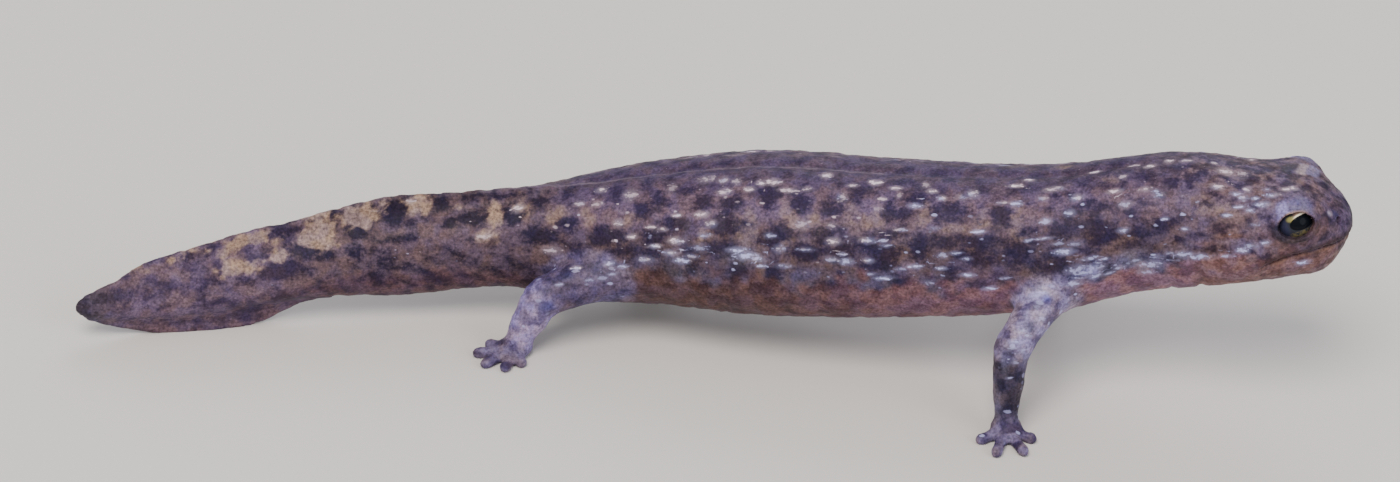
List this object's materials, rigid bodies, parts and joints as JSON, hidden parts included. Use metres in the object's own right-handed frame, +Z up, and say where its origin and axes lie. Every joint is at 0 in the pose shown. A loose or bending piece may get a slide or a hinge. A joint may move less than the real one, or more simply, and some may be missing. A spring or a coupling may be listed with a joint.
{
  "type": "clouded salamander model",
  "caption": "Life-size still model of a mottled purple-brown salamander, standing with raised head and a gently bent, finned tail.",
  "frame": {"origin": "on the floor, under the middle of the animal's bounding box", "axes": "+X from tail to head, +Y to the animal's left, +Z up"},
  "size_m": [0.0998, 0.0314, 0.0202],
  "materials": {
    "skin": "moist smooth amphibian skin, purple-brown with dark clouds and pale flecks",
    "throat_skin": "moist smooth skin, dull reddish brown",
    "leg_skin": "moist smooth skin, slate lilac with pale flecks",
    "fin_skin": "thin moist skin fold, purple-brown with tan patches",
    "eye": "wet glossy eye, dark with a gold rim over the pupil"
  },
  "bodies": {
    "root": {"head": "skin", "lower_jaw": "throat_skin", "eye_left": "eye", "eye_right": "eye", "neck": "skin", "torso": "skin", "tail_base": "skin", "tail_middle": "skin", "tail_end": "skin", "tail_fin_upper": "fin_skin", "tail_fin_lower": "fin_skin", "upper_arm_right": "leg_skin", "forearm_right": "leg_skin", "fore_foot_right": "leg_skin", "upper_arm_left": "leg_skin", "forearm_left": "leg_skin", "fore_foot_left": "leg_skin", "thigh_right": "leg_skin", "shank_right": "leg_skin", "hind_foot_right": "leg_skin", "thigh_left": "leg_skin", "shank_left": "leg_skin", "hind_foot_left": "leg_skin"}
  },
  "joints": []
}
